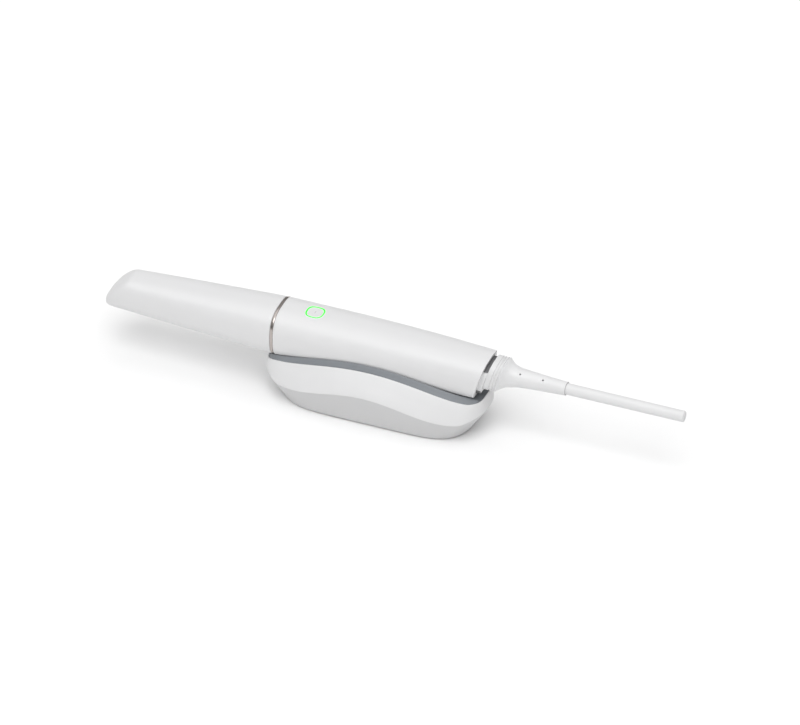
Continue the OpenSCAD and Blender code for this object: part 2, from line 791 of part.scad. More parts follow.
liner_x1 = 76.9;            // the trough ends here, just inside the liner's round ends
liner_floor = tub_floor_z + 0.02;
lip_slope = 1.2;            // fall of the trough's floor beyond the handle's ends

function liner_half(x) = (liner_b - 0.3) * pow(1 - pow(abs(x) / (liner_a - 0.3), 4.6), 1 / 4.6);

// The trough follows the handle; its edge is the rim's top, or the liner's own outline near the ends.
function trough_arc(x) =
    let (
        b = handle_half(x) + fit_gap,
        zt = handle_zt(x),
        zb = handle_zb(x) - fit_gap - lip_slope * pow(max(0, abs(x) - 71) / 6, 2),
        by_rim = angle_at(rim_top(x) - axis_z, zt, zb, handle_n),
        by_plan = -acos(pow(min(1, (liner_half(x) - 1.2) / b), handle_n / 2)),
        a = min(by_rim, by_plan))
    [for (i = [0:arc_steps])
        let (t = a - (180 + 2 * a) * i / arc_steps, p = super_point(t, b, zt, zb, handle_n))
        [x, p[0], axis_z + p[1]]];

function liner_arc(x) =
    [for (i = [0:arc_steps])
        let (t = -180 * i / arc_steps, depth = rim_edge(x) - liner_floor)
        [x, liner_half(x) * signed_power(cos(t), 2 / 6), rim_edge(x) - depth * pow(abs(sin(t)), 2 / 6)]];

module cradle_liner() {
    steps = 36;
    color(silicone) band_solid([for (k = [0:steps])
        let (x = liner_x1 * sin(90 * (2 * k / steps - 1)))
        [trough_arc(x), liner_arc(x)]]);
}

function plan_outline(a, b) =
    [for (i = [0:plan_points - 1])
        let (t = 360 * i / plan_points)
        [a * signed_power(cos(t), 2 / 3.6), b * signed_power(sin(t), 2 / 3.6)]];

plate_z0 = 1;
plate_z1 = 3.2;

module base_plate() {
    color([0.35, 0.36, 0.37]) difference() {
        translate([0, 0, plate_z0]) linear_extrude(plate_z1 - plate_z0)
            polygon(plan_outline(foot_a - 5, foot_b - 4));
        for (sx = [-1, 1], sy = [-1, 1]) translate([sx * screw_x, sy * screw_y, 0]) {
            cylinder(r = 1.4, h = 6);
            cylinder(r = 2.8, h = plate_z0 + 1.2);
        }
    }
}

module base_weight() {
    color([0.45, 0.45, 0.46]) translate([0, 0, plate_z1]) linear_extrude(9) rounded_square(98, 36, 5);
}

module foot_pad() {
    color([0.3, 0.3, 0.31]) linear_extrude(plate_z0) polygon(plan_outline(foot_a - 6.4, foot_b - 5.4));
}

module cradle_screws() {
    color(steel) for (sx = [-1, 1], sy = [-1, 1])
        translate([sx * screw_x, sy * screw_y, plate_z0 + 1.2]) screw(2.5, 1.1, 1.2, 9);
}

cradle_shell();
cradle_liner();
base_plate();
base_weight();
foot_pad();
cradle_screws();
upper_housing();
bottom_cover();
housing_screws();
collar_ring();
nose_tube();
nose_screws();
nose_window();
window_seal();
tip_seal_ring();
inner_frame();
optical_bench();
bench_screws();
projector_lens();
projector_module();
projector_led_board();
heat_sink();
camera_lens_left();
camera_lens_right();
sensor_board_left();
sensor_board_right();
led_ring();
button_board();
button_switch();
main_board();
board_screws();
sensor_flex();
fan_frame();
fan_screws();
rear_frame();
vent_grille();
lead_socket();
socket_contacts();
tip_shell();
tip_mirror();
mirror_mount();
button_cap();
fan_rotor();
plug_housing();
plug_shell();
strain_relief();
lead_cable();
lead_end_cap();
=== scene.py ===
import math

import bmesh
import bpy
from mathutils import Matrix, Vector


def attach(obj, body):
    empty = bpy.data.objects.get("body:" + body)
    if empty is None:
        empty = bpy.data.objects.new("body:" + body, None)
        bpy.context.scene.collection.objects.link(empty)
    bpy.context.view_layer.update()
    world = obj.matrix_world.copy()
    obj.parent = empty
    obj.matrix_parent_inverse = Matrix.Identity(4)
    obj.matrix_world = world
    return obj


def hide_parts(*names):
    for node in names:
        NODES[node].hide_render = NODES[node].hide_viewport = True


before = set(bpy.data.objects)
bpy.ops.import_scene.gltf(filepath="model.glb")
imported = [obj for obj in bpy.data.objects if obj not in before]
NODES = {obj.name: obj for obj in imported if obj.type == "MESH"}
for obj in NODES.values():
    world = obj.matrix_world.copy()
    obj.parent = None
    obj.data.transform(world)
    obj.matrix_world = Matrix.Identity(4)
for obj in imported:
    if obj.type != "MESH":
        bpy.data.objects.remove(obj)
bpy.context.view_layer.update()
MM = 0.001


# ---- the camera and the lead come first ----

CAMERA_AZIMUTH, CAMERA_ELEVATION = math.radians(22), math.radians(36)
LENS, DISTANCE_PER_LENS = 1200.0, 0.015252
LOOK_AT = Vector((0.01466, 0, 0.0402))


def make_camera():
    data = bpy.data.cameras.new("camera")
    data.lens, data.sensor_width = LENS, 36
    data.clip_start, data.clip_end = 0.1, 60
    cam = bpy.data.objects.new("camera", data)
    bpy.context.scene.collection.objects.link(cam)
    back = Vector(
        (
            math.sin(CAMERA_AZIMUTH) * math.cos(CAMERA_ELEVATION),
            -math.cos(CAMERA_AZIMUTH) * math.cos(CAMERA_ELEVATION),
            math.sin(CAMERA_ELEVATION),
        )
    )
    cam.location = LOOK_AT + back * (LENS * DISTANCE_PER_LENS)
    cam.rotation_euler = (-back).to_track_quat("-Z", "Y").to_euler()
    bpy.context.scene.camera = cam


make_camera()

# ---- sizes shared with part.scad ----

AXIS = 48.0
HANDLE_B, HANDLE_TOP, HANDLE_LOW, REAR_LOW = 19.4, 18.0, 17.7, 16.0
HANDLE_N, BOW_START, TOP_BOW, SIDE_BOW = 2.8, -35.0, 0.00022, 0.000175
HOUSING_X0, HOUSING_X1, WALL = -72.0, 82.2, 1.6
RING_LEN = 2.2
RING_X0 = HOUSING_X0 - RING_LEN
TIP_X0, TIP_X1 = -200.2, RING_X0 - 0.15
TIP_CORNER_X, TIP_B, TIP_TOP, TIP_LOW, TIP_WALL, SLANT_DROP = -185.5, 12.8, 12.2, 12.1, 1.3, 16.1
BUTTON_X, BUTTON_RING, BUTTON_HALF = -48.0, 6.4, 5.6
LEAD_Z, CABLE_D, SLEEVE_X0, SLEEVE_X1, LEAD_X1 = 3.5, 8.1, HOUSING_X1 + 21, 138.0, 224.6
CABLE_END = LEAD_X1 - 2
CRADLE_A, CRADLE_B, LINER_A, LINER_B, FOOT_A, FOOT_B = 80.7, 33.0, 79.2, 23.0, 67.6, 25.5
LINER_N = 4.2
SEAM_RISE, FIT_GAP, TUB_FLOOR_Z = 2.6, 0.4, 25.4
BEZEL, THROAT, THROAT_N, THROAT_OUT = (15.3, 13.3, -14.3), (12.4, 10.6, -11.6), 3, 3.2


def point(x, y, z, lift=AXIS):
    return Vector((x * MM, y * MM, (z + lift) * MM))


# ---- mesh helpers ----


def new_object(name, verts, faces, smooth_angle=35.0):
    mesh = bpy.data.meshes.new(name)
    mesh.from_pydata([tuple(v) for v in verts], [], faces)
    mesh.validate()
    bm = bmesh.new()
    bm.from_mesh(mesh)
    bmesh.ops.remove_doubles(bm, verts=bm.verts, dist=1e-7)
    bmesh.ops.dissolve_degenerate(bm, edges=bm.edges, dist=1e-8)
    bmesh.ops.recalc_face_normals(bm, faces=bm.faces)
    bm.to_mesh(mesh)
    bm.free()
    soften(mesh, smooth_angle)
    obj = bpy.data.objects.new(name, mesh)
    bpy.context.scene.collection.objects.link(obj)
    return obj


def soften(mesh, angle=35.0):
    mesh.shade_smooth()
    mesh.set_sharp_from_angle(angle=math.radians(angle))


def skin(rings, looped=False, first=True, last=True, closed=True):
    """Vertices and faces through rings of equal count.
    Closed ends get a fan of faces; looped joins the last ring to the first."""
    m, k = len(rings[0]), len(rings)
    verts = [p for ring in rings for p in ring]
    faces = []
    around = m if closed else m - 1
    for i in range(k if looped else k - 1):
        a0, b0 = i * m, ((i + 1) % k) * m
        for j in range(around):
            j1 = (j + 1) % m
            faces.append((a0 + j, a0 + j1, b0 + j1, b0 + j))
    if not looped:
        for wanted, start in ((first, 0), (last, (k - 1) * m)):
            if wanted:
                centre = Vector((0, 0, 0))
                for j in range(m):
                    centre += Vector(verts[start + j])
                verts.append(centre / m)
                for j in range(m):
                    faces.append((len(verts) - 1, start + j, start + (j + 1) % m))
    return verts, faces


def band(bands):
    """Vertices and faces of a solid through open bands, each an outer and an inner arc of equal count."""
    h = len(bands[0][0])
    rings = [list(o) + list(reversed(i)) for o, i in bands]
    verts, faces = skin(rings, first=False, last=False)
    for start in (0, (len(rings) - 1) * 2 * h):
        for j in range(h - 1):
            faces.append((start + j, start + j + 1, start + 2 * h - 2 - j, start + 2 * h - 1 - j))
    return verts, faces


def cut(obj, cutter, smooth_angle=35.0):
    """Takes the cutter's solid away from obj, and removes the cutter."""
    mod = obj.modifiers.new("cut", "BOOLEAN")
    mod.object, mod.operation, mod.solver = cutter, "DIFFERENCE", "EXACT"
    apply_modifiers(obj, smooth_angle)
    bpy.data.objects.remove(cutter)


def apply_modifiers(obj, smooth_angle=35.0):
    graph = bpy.context.evaluated_depsgraph_get()
    graph.update()
    mesh = bpy.data.meshes.new_from_object(obj.evaluated_get(graph))
    obj.modifiers.clear()
    obj.data = mesh
    bm = bmesh.new()
    bm.from_mesh(mesh)
    bmesh.ops.remove_doubles(bm, verts=bm.verts, dist=2e-7)
    bmesh.ops.dissolve_degenerate(bm, edges=bm.edges, dist=1e-7)
    bmesh.ops.triangulate(bm, faces=[f for f in bm.faces if len(f.verts) > 4])
    bm.to_mesh(mesh)
    bm.free()
    soften(mesh, smooth_angle)


def join(objs):
    """One object from several, with the first one's name."""
    bm = bmesh.new()
    for o in objs:
        bm.from_mesh(o.data)
    bm.to_mesh(objs[0].data)
    bm.free()
    for o in objs[1:]:
        bpy.data.objects.remove(o)
    return objs[0]


def sp(v, p):
    return math.copysign(abs(v) ** p, v)


def super_point(t, b, zt, zb, n):
    """A superellipse point at angle t in degrees, half width b, between heights zb and zt."""
    c, s = math.cos(math.radians(t)), math.sin(math.radians(t))
    c, s = (0 if abs(c) < 1e-12 else c), (0 if abs(s) < 1e-12 else s)
    return b * sp(c, 2 / n), (zt + zb) / 2 + (zt - zb) / 2 * sp(s, 2 / n)


def even_angles(count, n, power=0.5):
    """Angles that spread a superellipse's points more evenly than equal steps do."""
    out = []
    for i in range(count):
        q, r = divmod(i * 4 / count, 1)
        low = r < 0.5
        w = 2 * (r if low else 1 - r)
        a = 45 * w ** (n / 2 * power + (1 - power))
        out.append(90 * q + (a if low else 90 - a))
    return out


def smooth_line(points, steps):
    """A centripetal Catmull-Rom line through the points."""
    pts = [2 * points[0] - points[1]] + list(points) + [2 * points[-1] - points[-2]]
    out = []
    for i in range(1, len(pts) - 2):
        p0, p1, p2, p3 = pts[i - 1 : i + 3]
        t0 = 0.0
        t1 = t0 + max((p1 - p0).length, 1e-9) ** 0.5
        t2 = t1 + max((p2 - p1).length, 1e-9) ** 0.5
        t3 = t2 + max((p3 - p2).length, 1e-9) ** 0.5
        for k in range(steps):
            t = t1 + (t2 - t1) * k / steps
            a1 = p0 * ((t1 - t) / (t1 - t0)) + p1 * ((t - t0) / (t1 - t0))
            a2 = p1 * ((t2 - t) / (t2 - t1)) + p2 * ((t - t1) / (t2 - t1))
            a3 = p2 * ((t3 - t) / (t3 - t2)) + p3 * ((t - t2) / (t3 - t2))
            b1 = a1 * ((t2 - t) / (t2 - t0)) + a2 * ((t - t0) / (t2 - t0))
            b2 = a2 * ((t3 - t) / (t3 - t1)) + a3 * ((t - t1) / (t3 - t1))
            out.append(b1 * ((t2 - t) / (t2 - t1)) + b2 * ((t - t1) / (t2 - t1)))
    out.append(points[-1].copy())
    return out


def smooth_rings(rings, steps):
    """Rings between the given ones, so that the skin through them is smooth."""
    lines = [smooth_line([ring[j] for ring in rings], steps) for j in range(len(rings[0]))]
    return [[line[i] for line in lines] for i in range(len(lines[0]))]


def fillet(radius, steps=5, entering=False):
    """Pairs (distance short of the end, inset) round an outer edge, from the side to the end face."""
    pairs = []
    for i in range(steps + 1):
        a = math.radians(90 * i / steps)
        pairs.append((radius * (1 - math.sin(a)), radius * (1 - math.cos(a))))
    return list(reversed(pairs)) if entering else pairs


# ---- materials ----


def node_tree(name):
    mat = bpy.data.materials.new(name)
    mat.use_nodes = True
    tree = mat.node_tree
    shader = next(n for n in tree.nodes if n.type == "BSDF_PRINCIPLED")
    return mat, tree, shader


NOISE_ROUGHNESS, COAT_ROUGHNESS = 0.5, 0.1


def noise(tree, coords, scale, detail=2.0, stretch=None):
    if stretch:
        mapping = tree.nodes.new("ShaderNodeMapping")
        mapping.inputs["Scale"].default_value = stretch
        tree.links.new(coords, mapping.inputs["Vector"])
        coords = mapping.outputs["Vector"]
    tex = tree.nodes.new("ShaderNodeTexNoise")
    tex.inputs["Scale"].default_value = scale
    tex.inputs["Detail"].default_value = detail
    tex.inputs["Roughness"].default_value = NOISE_ROUGHNESS
    tree.links.new(coords, tex.inputs["Vector"])
    return tex.outputs["Fac"]


def remap(tree, value, lo, hi, from_lo=0.3, from_hi=0.7):
    node = tree.nodes.new("ShaderNodeMapRange")
    node.inputs["From Min"].default_value, node.inputs["From Max"].default_value = from_lo, from_hi
    node.inputs["To Min"].default_value, node.inputs["To Max"].default_value = lo, hi
    tree.links.new(value, node.inputs["Value"])
    return node.outputs["Result"]


def mix(tree, fac, a, b):
    node = tree.nodes.new("ShaderNodeMix")
    node.data_type = "RGBA"
    tree.links.new(fac, node.inputs[0])
    for socket, value in ((node.inputs[6], a), (node.inputs[7], b)):
        if hasattr(value, "default_value"):
            tree.links.new(value, socket)
        else:
            socket.default_value = (*value, 1)
    return node.outputs[2]


def shade(colour, by):
    return tuple(min(1.0, c * by) for c in colour)


def surface(
    name,
    colour,
    rough,
    metallic=0.0,
    grain=0.02,
    grain_size=0.35,
    tone=0.03,
    rough_span=0.06,
    stretch=None,
    coat=0.0,
    specular=0.5,
    patch=14.0,
):
    """A moulded, cast or brushed surface: fine grain in the normals, patchy roughness and a slight
    change of tone. grain is the bump's depth and grain_size its period, in millimetres; patch is the
    period of the slow changes."""
    mat, tree, shader = node_tree(name)
    coords = tree.nodes.new("ShaderNodeTexCoord").outputs["Object"]
    fine = noise(tree, coords, 1 / (grain_size * MM), 2.0, stretch)
    slow = noise(tree, coords, 1 / (patch * MM), 3.0)
    bump = tree.nodes.new("ShaderNodeBump")
    bump.inputs["Strength"].default_value = 1.0
    bump.inputs["Distance"].default_value = grain * MM
    tree.links.new(fine, bump.inputs["Height"])
    tree.links.new(bump.outputs["Normal"], shader.inputs["Normal"])
    tree.links.new(remap(tree, slow, rough - rough_span, rough + rough_span), shader.inputs["Roughness"])
    toned = mix(tree, remap(tree, slow, 0.0, 1.0), shade(colour, 1 - tone), shade(colour, 1 + tone))
    tree.links.new(toned, shader.inputs["Base Color"])
    shader.inputs["Metallic"].default_value = metallic
    shader.inputs["Specular IOR Level"].default_value = specular
    shader.inputs["Coat Weight"].default_value = coat
    shader.inputs["Coat Roughness"].default_value = COAT_ROUGHNESS
    return mat


def paint_shade_below(mat, by):
    """Painted shade: faces that look down take a darker tone, a darker colour standing in for their shade
    rather than a second plastic.
    """
    tree = mat.node_tree
    shader = next(n for n in tree.nodes if n.type == "BSDF_PRINCIPLED")
    normal = tree.nodes.new("ShaderNodeNewGeometry").outputs["Normal"]
    split = tree.nodes.new("ShaderNodeSeparateXYZ")
    tree.links.new(normal, split.inputs["Vector"])
    # painted shade: the darker tone fades in as the face's normal turns downwards
    below = remap(tree, split.outputs["Z"], 1.0, 0.0, -0.22, -0.04)
    plain = shader.inputs["Base Color"].links[0].from_socket
    tree.links.new(mix(tree, below, plain, shade(WHITE, by)), shader.inputs["Base Color"])
    return mat


def lit(name, colour, strength):
    """A light guide: glowing, with a slightly uneven diffuser."""
    mat, tree, shader = node_tree(name)
    coords = tree.nodes.new("ShaderNodeTexCoord").outputs["Object"]
    fine = noise(tree, coords, 1 / (0.3 * MM), 2.0)
    slow = noise(tree, coords, 1 / (5 * MM), 2.0)
    glow = mix(tree, remap(tree, slow, 0.0, 1.0), shade(colour, 0.93), colour)
    tree.links.new(glow, shader.inputs["Emission Color"])
    tree.links.new(glow, shader.inputs["Base Color"])
    shader.inputs["Emission Strength"].default_value = strength
    bump = tree.nodes.new("ShaderNodeBump")
    bump.inputs["Distance"].default_value = 0.01 * MM
    tree.links.new(fine, bump.inputs["Height"])
    tree.links.new(bump.outputs["Normal"], shader.inputs["Normal"])
    tree.links.new(remap(tree, fine, 0.3, 0.42), shader.inputs["Roughness"])
    return mat


def circuit(name, colour, trace, pad):
    """Solder mask over etched traces, with tinned pads."""
    mat, tree, shader = node_tree(name)
    coords = tree.nodes.new("ShaderNodeTexCoord").outputs["Object"]
    bricks = tree.nodes.new("ShaderNodeTexBrick")
    bricks.inputs["Scale"].default_value = 1 / (6 * MM)
    bricks.inputs["Mortar Size"].default_value = 0.035
    bricks.inputs["Color1"].default_value = (0, 0, 0, 1)
    bricks.inputs["Color2"].default_value = (0, 0, 0, 1)
    bricks.inputs["Mortar"].default_value = (1, 1, 1, 1)
    tree.links.new(coords, bricks.inputs["Vector"])
    cells = tree.nodes.new("ShaderNodeTexVoronoi")
    cells.inputs["Scale"].default_value = 1 / (2.2 * MM)
    tree.links.new(coords, cells.inputs["Vector"])
    dots = remap(tree, cells.outputs["Distance"], 1.0, 0.0, 0.16, 0.2)
    base = mix(tree, bricks.outputs["Color"], colour, trace)
    base = mix(tree, dots, base, pad)
    tree.links.new(base, shader.inputs["Base Color"])
    tree.links.new(remap(tree, dots, 0.35, 0.25, 0, 1), shader.inputs["Roughness"])
    bump = tree.nodes.new("ShaderNodeBump")
    bump.inputs["Distance"].default_value = 0.04 * MM
    tree.links.new(bricks.outputs["Color"], bump.inputs["Height"])
    tree.links.new(bump.outputs["Normal"], shader.inputs["Normal"])
    return mat


def glass(name):
    mat, tree, shader = node_tree(name)
    coords = tree.nodes.new("ShaderNodeTexCoord").outputs["Object"]
    fine = noise(tree, coords, 1 / (8 * MM), 2.0)
    tint = mix(tree, remap(tree, fine, 0.0, 1.0), (0.86, 0.93, 0.95), (0.9, 0.95, 0.98))
    tree.links.new(tint, shader.inputs["Base Color"])
    tree.links.new(remap(tree, fine, 0.02, 0.05), shader.inputs["Roughness"])
    shader.inputs["Transmission Weight"].default_value = 0.9
    shader.inputs["IOR"].default_value = 1.52
    return mat


WHITE = (0.725, 0.725, 0.73)
M = {
    "housing": surface("housing_satin_white", WHITE, 0.46, grain=0.004, grain_size=0.5, tone=0.006,
                       coat=0.02, rough_span=0.03),
    "tip": surface("tip_satin_white", WHITE, 0.44, grain=0.004, grain_size=0.6, tone=0.006, coat=0.02,
                   rough_span=0.03),
    "cradle": surface("cradle_matt_white_painted_shade", WHITE, 0.48, grain=0.01, grain_size=0.5, tone=0.008,
                      rough_span=0.04),
    "button": surface("button_white", WHITE, 0.4, grain=0.004, grain_size=0.3, tone=0.006),
    "lead": surface("lead_white", WHITE, 0.42, grain=0.008, grain_size=0.45, tone=0.01, rough_span=0.05),
    "frame_white": surface("rear_frame_white", WHITE, 0.42, grain=0.006, grain_size=0.4, tone=0.008),
    "liner": surface("liner_silicone", (0.225, 0.24, 0.258), 0.55, grain=0.012, grain_size=0.4, tone=0.03,
                     specular=0.35),
    "foot": surface("foot_silicone", (0.055, 0.056, 0.06), 0.7, grain=0.05, grain_size=0.7, tone=0.08,
                    specular=0.3),
    "base": surface("base_plastic", (0.1, 0.103, 0.108), 0.5, grain=0.03, grain_size=0.5, tone=0.06),
    "cast": surface("cast_steel", (0.38, 0.38, 0.39), 0.5, metallic=1, grain=0.06, grain_size=0.8, tone=0.08),
    "steel": surface("turned_steel", (0.62, 0.62, 0.64), 0.26, metallic=1, grain=0.008, grain_size=0.2,
                     tone=0.04),
    "collar": surface("collar_metal", (0.46, 0.42, 0.4), 0.2, metallic=1, grain=0.003, grain_size=0.25,
                      tone=0.03,
                      rough_span=0.04, stretch=(0.2, 1, 1)),
    "black": surface("black_moulding", (0.022, 0.022, 0.025), 0.42, grain=0.015, grain_size=0.35, tone=0.1),
    "rubber": surface("black_rubber", (0.018, 0.018, 0.019), 0.65, grain=0.02, grain_size=0.3, tone=0.1,
                      specular=0.3),
    "anodised": surface("black_anodised", (0.03, 0.03, 0.033), 0.34, metallic=0.6, grain=0.006,
                        grain_size=0.15,
                        tone=0.1, stretch=(1, 0.15, 0.15)),
    "frame_grey": surface("frame_plastic", (0.075, 0.078, 0.083), 0.5, grain=0.02, grain_size=0.4, tone=0.06),
    "milled": surface("milled_aluminium", (0.66, 0.67, 0.69), 0.3, metallic=1, grain=0.01, grain_size=0.3,
                      tone=0.04,
                      stretch=(0.12, 1, 1)),
    "extruded": surface("extruded_aluminium", (0.7, 0.71, 0.73), 0.36, metallic=1, grain=0.012,
                        grain_size=0.3, tone=0.05,
                        stretch=(0.1, 1, 1)),
    "grille": surface("grille_dark", (0.15, 0.15, 0.155), 0.45, grain=0.01, grain_size=0.3, tone=0.08),
    "contact": surface("gilded_contact", (0.75, 0.58, 0.3), 0.25, metallic=0.9, grain=0.004, grain_size=0.3,
                       tone=0.06),
    "polyimide": circuit("flex_polyimide", (0.42, 0.2, 0.045), (0.55, 0.3, 0.08), (0.6, 0.4, 0.15)),
    "board": circuit("board_green", (0.012, 0.09, 0.045), (0.02, 0.15, 0.075), (0.62, 0.55, 0.42)),
    "mirror": surface("mirror_coating", (0.86, 0.87, 0.88), 0.05, metallic=1, grain=0.0005, grain_size=3,
                      tone=0.01,
                      rough_span=0.02),
    "tick": surface("button_tick_grey", (0.42, 0.42, 0.43), 0.5, grain=0.004, grain_size=0.3, tone=0.04),
    "window": glass("window_glass"),
    "led": lit("led_green", (0.02, 1.0, 0.02), 1.0),
}

# painted shade on the cradle's downward-facing lower body, its white darkened to 0.84
paint_shade_below(M["cradle"], 0.84)

NODE_FINISH = {
    "base_plate": "base", "base_weight": "cast", "foot_pad": "foot", "cradle_screws": "steel",
    "housing_screws": "steel", "nose_tube": "black", "nose_screws": "steel", "nose_window": "window",
    "window_seal": "rubber", "tip_seal_ring": "rubber", "inner_frame": "frame_grey", "optical_bench": "milled",
    "bench_screws": "steel", "projector_lens": "anodised", "projector_module": "black",
    "projector_led_board": "board", "heat_sink": "extruded", "camera_lens_left": "anodised",
    "camera_lens_right": "anodised", "sensor_board_left": "board", "sensor_board_right": "board",
    "button_board": "board", "button_switch": "steel", "main_board": "board", "board_screws": "steel",
    "sensor_flex": "polyimide", "fan_frame": "black", "fan_screws": "steel", "lead_socket": "steel",
    "socket_contacts": "contact", "tip_mirror": "mirror", "mirror_mount": "rubber", "fan_rotor": "black",
    "plug_shell": "steel",
}


def finish_node(node, mat):
    """A carried-over CAD node takes a procedural material in each of its slots."""
    obj = NODES[node]
    if not obj.material_slots:
        obj.data.materials.append(mat)
    for s in obj.material_slots:
        s.link = "OBJECT"
        s.material = mat


for node_name, finish_name in NODE_FINISH.items():
    finish_node(node_name, M[finish_name])


def piece(obj, body, mat, slot, *nodes):
    """A piece takes its material, rides on its body and stands for its CAD nodes."""
    obj.data.materials.clear()
    obj.data.materials.append(mat)
    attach(obj, body)
    if nodes:
        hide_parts(*nodes)
    return obj


# ---- the lead: cable, end cap ----

CABLE_ROUTE = [138, 150, 165, 180, 195, 210, 222.6]
CAP_SIDES, CAP_ROUND = 48, 0.75


def circle_angles(count):
    return [2 * math.pi * i / count for i in range(count)]


def lead_circle(x, r, count):
    """A circle round the lead's axis."""
    return [point(x, r * math.cos(a), LEAD_Z + r * math.sin(a)) for a in circle_angles(count)]


def make_lead():
    curve = bpy.data.curves.new("lead_cable_run", "CURVE")
    curve.dimensions = "3D"
    curve.bevel_depth = CABLE_D / 2 * MM
    curve.bevel_resolution = 10
    curve.use_fill_caps = True
    line = smooth_line([point(x, 0, LEAD_Z) for x in CABLE_ROUTE], 4)
    spline = curve.splines.new("POLY")
    spline.points.add(len(line) - 1)
    for target, p in zip(spline.points, line):
        target.co = (*p, 1)
    cable = bpy.data.objects.new("lead_cable_run", curve)
    bpy.context.scene.collection.objects.link(cable)
    piece(cable, "lead", M["lead"], "lead_white", "lead_cable")
    r = CABLE_D / 2
    rings = [lead_circle(CABLE_END, r, CAP_SIDES)]
    rings += [lead_circle(LEAD_X1 - short, r - inset, CAP_SIDES) for short, inset in fillet(CAP_ROUND, 6)]
    rings += [lead_circle(LEAD_X1, share * r, CAP_SIDES) for share in (0.55, 0.25)]
    cap = new_object("lead_end", *skin(rings))
    piece(cap, "lead", M["lead"], "lead_white", "lead_end_cap")


make_lead()

# ---- the handle's form, as in part.scad ----


def bow(x):
    return max(0.0, x - BOW_START) ** 2


def handle_zt(x):
    return HANDLE_TOP - TOP_BOW * bow(x)


def handle_zb(x):
    return -HANDLE_LOW + (HANDLE_LOW - REAR_LOW) * (x - HOUSING_X0) / (HOUSING_X1 - HOUSING_X0)


def handle_half(x):
    return HANDLE_B - SIDE_BOW * bow(x)


def rear_lean(d):
    return 0.268 * d + 0.0008 * d * d


REAR_TOP = handle_zt(HOUSING_X1)


def handle_point(x, t, inset):
    u = (x - HOUSING_X0) / (HOUSING_X1 - HOUSING_X0)
    y, z = super_point(t, handle_half(x) - inset, handle_zt(x) - inset, handle_zb(x) + inset, HANDLE_N)
    return point(x - u * rear_lean(handle_zt(x) - z), y, z)


def angle_at(z, zt, zb, n):
    s = (z - (zt + zb) / 2) / ((zt - zb) / 2)
    return math.degrees(math.asin(max(-1.0, min(1.0, sp(s, n / 2)))))


def seam_angle(x, inset, rise):
    return angle_at(handle_zb(x) + rise, handle_zt(x) - inset, handle_zb(x) + inset, HANDLE_N)


def arc_angles(t0, t1, count):
    """Equal steps of angle along an arc, with both ends."""
    return [t0 + (t1 - t0) * i / count for i in range(count + 1)]


ARC = 110
SEAM_GROOVE = 0.12
COVER_SCREW_XS, COVER_SCREW_Y = (-58, 46), 7


def housing_arc(x, inset, upper, edge=0.0):
    """edge pulls the arc's ends back from the seam."""
    a = seam_angle(x, inset, SEAM_RISE + (edge if upper else -edge))
    t0, t1 = (a, 180 - a) if upper else (180 - a, 360 + a)
    return [handle_point(x, t, inset) for t in arc_angles(t0, t1, ARC)]


def housing_stations(front_r, rear_r):
    stations = [(HOUSING_X0 + s, i) for s, i in fillet(front_r, 5, entering=True)]
    steps = 64
    for k in range(1, steps):
        stations.append((HOUSING_X0 + (HOUSING_X1 - HOUSING_X0) * k / steps, 0.0))
    stations += [(HOUSING_X1 - s, i) for s, i in fillet(rear_r, 7)]
    return stations


def make_housing():
    for upper, name, node in ((True, "housing_upper", "upper_housing"),
                              (False, "housing_cover", "bottom_cover")):
        bands = []
        for x, inset in housing_stations(0.3, 0.5):
            outer = housing_arc(x, inset, upper, SEAM_GROOVE)
            edge_in = housing_arc(x, inset + SEAM_GROOVE, upper, 0.02)
            outer = [edge_in[0]] + outer + [edge_in[-1]]
            inner = housing_arc(x, WALL, upper, 0.02)
            inner = [inner[0]] + inner + [inner[-1]]
            bands.append((outer, inner))
        verts, faces = band(bands)
        obj = new_object(name, verts, faces, 38)
        if upper:
            tool = prism("button_tool", squircle(BUTTON_RING + 0.1, 96), BUTTON_X, HANDLE_TOP - 5,
                         HANDLE_TOP + 3)
            cut(obj, tool, 38)
        else:
            for x in COVER_SCREW_XS:
                for y in (-COVER_SCREW_Y, COVER_SCREW_Y):
                    cut(obj, screw_hole_tool(x, y, handle_zb(x)), 38)
        piece(obj, "handpiece", M["housing"], "housing_white", node)


def screw_hole_tool(x, y, z):
    """A screw's hole with the counterbore for its head, from below."""
    steps = ((1.8, -1), (1.8, 1.2), (1.0, 1.2), (1.0, 5))
    rings = [[point(x + r * math.cos(a), y + r * math.sin(a), z + h) for a in circle_angles(32)] for r,
             h in steps]
    return new_object("screw_tool", *skin(rings))


def squircle(r, count, n=2.8):
    out = []
    for i in range(count):
        a = 2 * math.pi * i / count
        out.append((r * sp(math.cos(a), 2 / n), r * sp(math.sin(a), 2 / n)))
    return out


def prism(name, outline, x, z0, z1):
    rings = [[point(x + p[0], p[1], z) for p in outline] for z in (z0, z1)]
    return new_object(name, *skin(rings))


def top_height(x, y):
    """The handle's top surface at a place near the button."""
    b, zt, zb, n = handle_half(x), handle_zt(x), handle_zb(x), HANDLE_N
    return (zt + zb) / 2 + (zt - zb) / 2 * (1 - (min(abs(y), b) / b) ** n) ** (1 / n)


